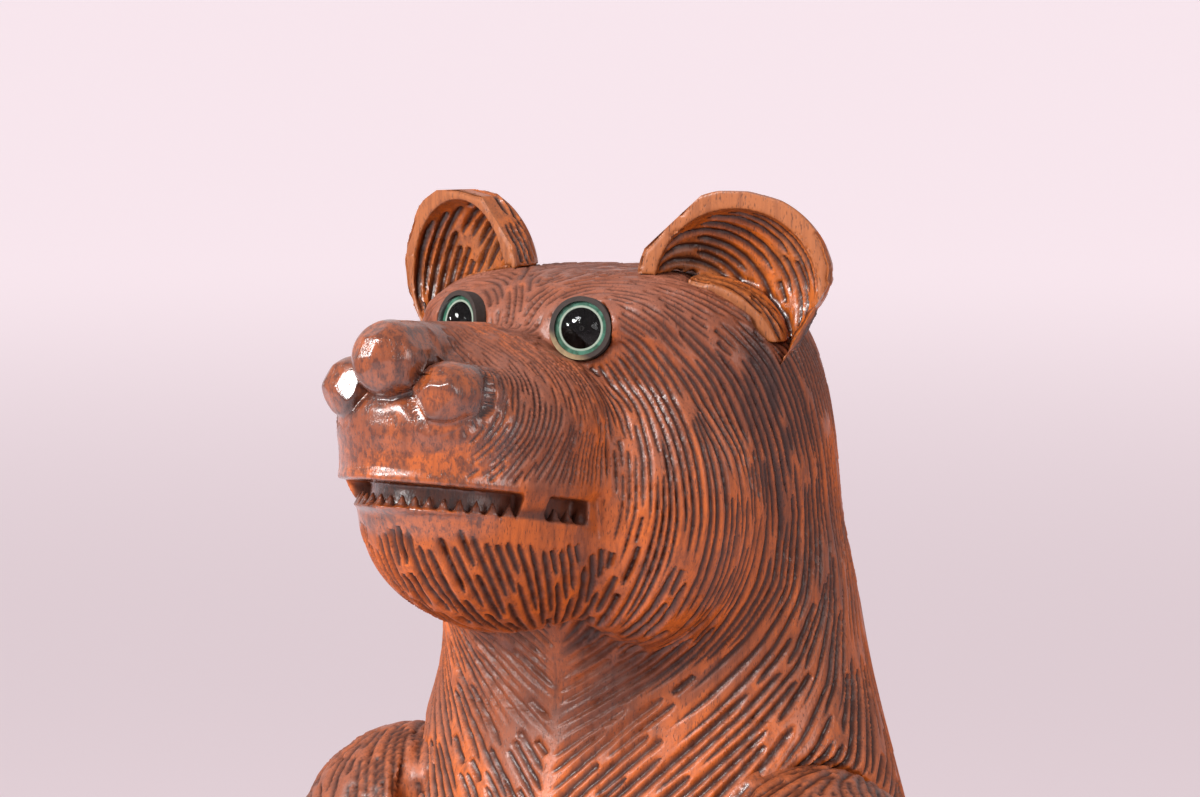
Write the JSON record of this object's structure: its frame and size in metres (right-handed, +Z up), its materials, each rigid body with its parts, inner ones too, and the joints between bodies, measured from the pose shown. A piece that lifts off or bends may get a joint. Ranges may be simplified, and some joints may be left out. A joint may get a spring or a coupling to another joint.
{
  "type": "carved wooden figurine",
  "caption": "Standing carved wooden bear with grooved fur, bared teeth, inset glass eyes and hollow ears, on a round plinth.",
  "frame": {"origin": "centre of the felt's underside, where the figure stands", "axes": "+Z up, -Y the way the bear faces, +X the bear's own left"},
  "size_m": [0.24, 0.277, 0.6],
  "materials": {
    "carved_wood": "hand-grooved hardwood, reddish brown, satin lacquer",
    "ear_wood": "gouge-cut hardwood, orange brown, thin lacquer",
    "dowel_wood": "plain turned hardwood, glued",
    "plinth_wood": "turned hardwood, dark satin lacquer",
    "eye_glass": "clear moulded glass",
    "eye_green": "green enamel painted on the back of the glass",
    "eye_black": "black enamel painted on the back of the glass",
    "putty": "dried putty, matt",
    "wire_steel": "drawn iron wire",
    "screw_steel": "zinc-plated steel",
    "felt": "pressed green wool felt"
  },
  "bodies": {
    "root": {"arm_dowels": "dowel_wood", "body": "carved_wood", "felt_pad": "felt", "left_arm": "carved_wood", "left_ear": "ear_wood", "left_eye_iris": "eye_green", "left_eye_lens": "eye_glass", "left_eye_pupil": "eye_black", "left_eye_putty": "putty", "left_eye_wire": "wire_steel", "plinth": "plinth_wood", "plinth_screws": "screw_steel", "right_arm": "carved_wood", "right_ear": "ear_wood", "right_eye_iris": "eye_green", "right_eye_lens": "eye_glass", "right_eye_pupil": "eye_black", "right_eye_putty": "putty", "right_eye_wire": "wire_steel"}
  },
  "joints": []
}
